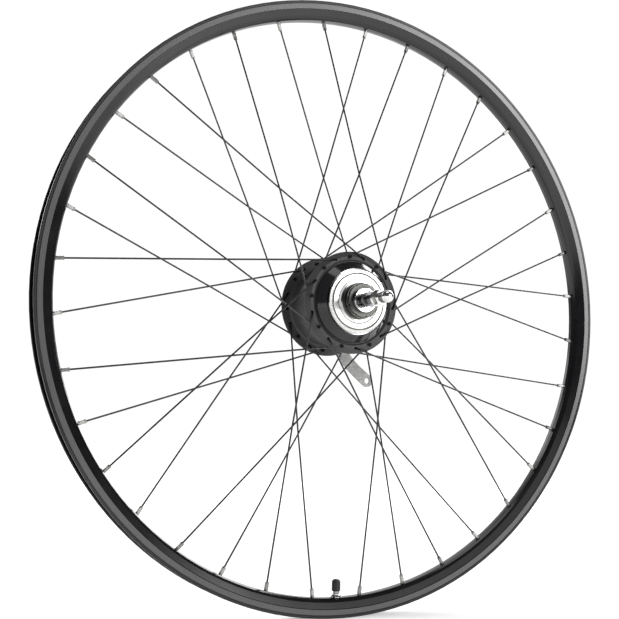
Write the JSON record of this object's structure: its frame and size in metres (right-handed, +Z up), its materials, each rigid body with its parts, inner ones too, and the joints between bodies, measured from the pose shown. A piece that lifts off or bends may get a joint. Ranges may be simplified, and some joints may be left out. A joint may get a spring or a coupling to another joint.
{
  "type": "bicycle wheel with hub gear",
  "caption": "Rear bicycle wheel with black rim and crossed spokes, built on an internal planetary gear hub with a coaster brake, reaction arm and domed axle nuts.",
  "frame": {"origin": "centre of the wheel, on the axle's line and in the middle plane of the rim", "axes": "+Y along the axle towards the brake side, -Y towards the drive side; +X forward as the bicycle rolls; +Z up, with the valve at the bottom"},
  "size_m": [0.6333, 0.2104, 0.6334],
  "materials": {
    "axle_steel": "dark",
    "gear_steel": "machined",
    "bearing_steel": "polished",
    "bright_steel": "polished",
    "brass_plain": "plain",
    "nipple_plating": "bright",
    "spoke_steel": "drawn",
    "hub_black": "black satin",
    "shell_cap_black": "gloss",
    "driver_black": "blackened",
    "carrier_steel": "plain",
    "brake_iron": "machined",
    "arm_plate": "zinc plated",
    "rim_black": "black gloss",
    "tape_rubber": "matt",
    "cap_plastic": "matt"
  },
  "bodies": {
    "hub_axle": {"axle": "axle_steel", "sun_gear_input": "gear_steel", "sun_gear_middle": "gear_steel", "right_cone": "bright_steel", "cone_spacer": "axle_steel", "right_lock_nut": "axle_steel", "right_washer": "bright_steel", "right_axle_nut": "bright_steel", "brake_cone": "carrier_steel", "brake_arm": "arm_plate", "left_dust_cap": "bright_steel", "left_lock_nut": "bright_steel", "left_keyed_washer": "bright_steel", "left_axle_nut": "bright_steel"},
    "wheel": {"rim": "rim_black", "rim_tape": "tape_rubber", "spokes_drive_outer": "spoke_steel", "spokes_drive_inner": "spoke_steel", "spokes_brake_inner": "spoke_steel", "spokes_brake_outer": "spoke_steel", "nipples": "nipple_plating", "valve_stem": "bright_steel", "valve_rim_nut": "bright_steel", "valve_core": "bright_steel", "valve_cap": "cap_plastic", "hub_shell": "hub_black", "shell_cap": "shell_cap_black", "right_ball_cup": "bearing_steel", "left_ball_cup": "bearing_steel", "brake_drum": "brake_iron"},
    "driver": {"driver": "driver_black", "snap_ring": "driver_black", "dust_cap": "bright_steel"},
    "input_ring": {"input_ring_gear": "gear_steel"},
    "output_ring": {"output_ring_gear": "gear_steel", "clutch_rollers": "gear_steel", "clutch_cage": "carrier_steel"},
    "carrier": {"planet_carrier": "carrier_steel", "planet_pins": "gear_steel"},
    "planet_input_1": {"planet_input_1": "gear_steel"},
    "planet_input_2": {"planet_input_2": "gear_steel"},
    "planet_input_3": {"planet_input_3": "gear_steel"},
    "planet_output_1": {"planet_output_1": "gear_steel"},
    "planet_output_2": {"planet_output_2": "gear_steel"},
    "planet_output_3": {"planet_output_3": "gear_steel"},
    "sun_high": {"sun_gear_high": "gear_steel"},
    "sun_low": {"sun_gear_low": "gear_steel"},
    "driver_balls": {"driver_bearing_balls": "bearing_steel"},
    "shell_balls": {"shell_bearing_balls": "bearing_steel", "shell_bearing_retainer": "brass_plain"},
    "brake_balls": {"brake_bearing_balls": "bearing_steel", "brake_bearing_retainer": "brass_plain"},
    "pawl_1": {"drive_pawl_1": "gear_steel"},
    "pawl_2": {"drive_pawl_2": "gear_steel"},
    "pawl_3": {"drive_pawl_3": "gear_steel"},
    "shift_sleeve": {"shift_sleeve": "driver_black"},
    "brake_cam": {"brake_cam": "carrier_steel"},
    "shoe_1": {"brake_shoe_1": "brake_iron"},
    "shoe_2": {"brake_shoe_2": "brake_iron"},
    "shoe_3": {"brake_shoe_3": "brake_iron"}
  },
  "joints": [
    {"name": "wheel_spin", "type": "hinge", "parent": "hub_axle", "child": "wheel", "pos_m": [0, 0, 0], "axis": [0, 1, 0], "continuous": true},
    {"name": "driver_spin", "type": "hinge", "parent": "hub_axle", "child": "driver", "pos_m": [0, 0, 0], "axis": [0, 1, 0], "continuous": true},
    {"name": "input_ring_spin", "type": "hinge", "parent": "hub_axle", "child": "input_ring", "pos_m": [0, 0, 0], "axis": [0, 1, 0], "continuous": true},
    {"name": "carrier_spin", "type": "hinge", "parent": "hub_axle", "child": "carrier", "pos_m": [0, 0, 0], "axis": [0, 1, 0], "continuous": true},
    {"name": "output_ring_spin", "type": "hinge", "parent": "hub_axle", "child": "output_ring", "pos_m": [0, 0, 0], "axis": [0, 1, 0], "continuous": true},
    {"name": "planet_input_1_spin", "type": "hinge", "parent": "carrier", "child": "planet_input_1", "pos_m": [0.0225, 0, 0], "axis": [0, 1, 0], "continuous": true},
    {"name": "planet_input_2_spin", "type": "hinge", "parent": "carrier", "child": "planet_input_2", "pos_m": [-0.01125, 0, 0.01949], "axis": [0, 1, 0], "continuous": true},
    {"name": "planet_input_3_spin", "type": "hinge", "parent": "carrier", "child": "planet_input_3", "pos_m": [-0.01125, 0, -0.01949], "axis": [0, 1, 0], "continuous": true},
    {"name": "planet_output_1_spin", "type": "hinge", "parent": "carrier", "child": "planet_output_1", "pos_m": [0.01125, 0, 0.01949], "axis": [0, 1, 0], "continuous": true},
    {"name": "planet_output_2_spin", "type": "hinge", "parent": "carrier", "child": "planet_output_2", "pos_m": [-0.0225, 0, 0], "axis": [0, 1, 0], "continuous": true},
    {"name": "planet_output_3_spin", "type": "hinge", "parent": "carrier", "child": "planet_output_3", "pos_m": [0.01125, 0, -0.01949], "axis": [0, 1, 0], "continuous": true},
    {"name": "sun_high_spin", "type": "hinge", "parent": "hub_axle", "child": "sun_high", "pos_m": [0, 0, 0], "axis": [0, 1, 0], "continuous": true},
    {"name": "sun_low_spin", "type": "hinge", "parent": "hub_axle", "child": "sun_low", "pos_m": [0, 0, 0], "axis": [0, 1, 0], "continuous": true},
    {"name": "driver_bearing_spin", "type": "hinge", "parent": "hub_axle", "child": "driver_balls", "pos_m": [0, 0, 0], "axis": [0, 1, 0], "continuous": true},
    {"name": "shell_bearing_spin", "type": "hinge", "parent": "hub_axle", "child": "shell_balls", "pos_m": [0, 0, 0], "axis": [0, 1, 0], "continuous": true},
    {"name": "brake_bearing_spin", "type": "hinge", "parent": "hub_axle", "child": "brake_balls", "pos_m": [0, 0, 0], "axis": [0, 1, 0], "continuous": true},
    {"name": "pawl_1_tilt", "type": "hinge", "parent": "driver", "child": "pawl_1", "pos_m": [0.0262, 0, 0], "axis": [0, 1, 0], "range_deg": [0, 6], "stiffness_Nm_per_rad": 0.02},
    {"name": "pawl_2_tilt", "type": "hinge", "parent": "driver", "child": "pawl_2", "pos_m": [-0.0131, 0, 0.02269], "axis": [0, 1, 0], "range_deg": [0, 6], "stiffness_Nm_per_rad": 0.02},
    {"name": "pawl_3_tilt", "type": "hinge", "parent": "driver", "child": "pawl_3", "pos_m": [-0.0131, 0, -0.02269], "axis": [0, 1, 0], "range_deg": [0, 6], "stiffness_Nm_per_rad": 0.02},
    {"name": "shift_sleeve_turn", "type": "hinge", "parent": "hub_axle", "child": "shift_sleeve", "pos_m": [0, 0, 0], "axis": [0, 1, 0], "range_deg": [0, 120]},
    {"name": "brake_cam_turn", "type": "hinge", "parent": "hub_axle", "child": "brake_cam", "pos_m": [0, 0, 0], "axis": [0, -1, 0], "range_deg": [0, 20], "stiffness_Nm_per_rad": 0.1},
    {"name": "shoe_1_slide", "type": "slide", "parent": "hub_axle", "child": "shoe_1", "axis": [1, 0, 0], "range_m": [0, 0.0006]},
    {"name": "shoe_2_slide", "type": "slide", "parent": "hub_axle", "child": "shoe_2", "axis": [-0.5, 0, 0.866], "range_m": [0, 0.0006]},
    {"name": "shoe_3_slide", "type": "slide", "parent": "hub_axle", "child": "shoe_3", "axis": [-0.5, 0, -0.866], "range_m": [0, 0.0006]}
  ],
  "couplings": [
    {"joint": "driver_spin", "follows": "wheel_spin", "ratio": 1.3125},
    {"joint": "input_ring_spin", "follows": "wheel_spin", "ratio": 1.3125},
    {"joint": "carrier_spin", "follows": "wheel_spin", "ratio": 0.7},
    {"joint": "output_ring_spin", "follows": "wheel_spin", "ratio": 1},
    {"joint": "planet_input_1_spin", "follows": "wheel_spin", "ratio": 1.925},
    {"joint": "planet_input_2_spin", "follows": "wheel_spin", "ratio": 1.925},
    {"joint": "planet_input_3_spin", "follows": "wheel_spin", "ratio": 1.925},
    {"joint": "planet_output_1_spin", "follows": "wheel_spin", "ratio": 1.05},
    {"joint": "planet_output_2_spin", "follows": "wheel_spin", "ratio": 1.05},
    {"joint": "planet_output_3_spin", "follows": "wheel_spin", "ratio": 1.05},
    {"joint": "sun_high_spin", "follows": "wheel_spin", "ratio": 0.175},
    {"joint": "sun_low_spin", "follows": "wheel_spin", "ratio": -0.5},
    {"joint": "driver_bearing_spin", "follows": "wheel_spin", "ratio": 0.8009},
    {"joint": "shell_bearing_spin", "follows": "wheel_spin", "ratio": 1.1438},
    {"joint": "brake_bearing_spin", "follows": "wheel_spin", "ratio": 0.5857},
    {"joint": "shoe_1_slide", "follows": "brake_cam_turn", "m_per_rad": 0.0017189},
    {"joint": "shoe_2_slide", "follows": "brake_cam_turn", "m_per_rad": 0.0017189},
    {"joint": "shoe_3_slide", "follows": "brake_cam_turn", "m_per_rad": 0.0017189}
  ]
}
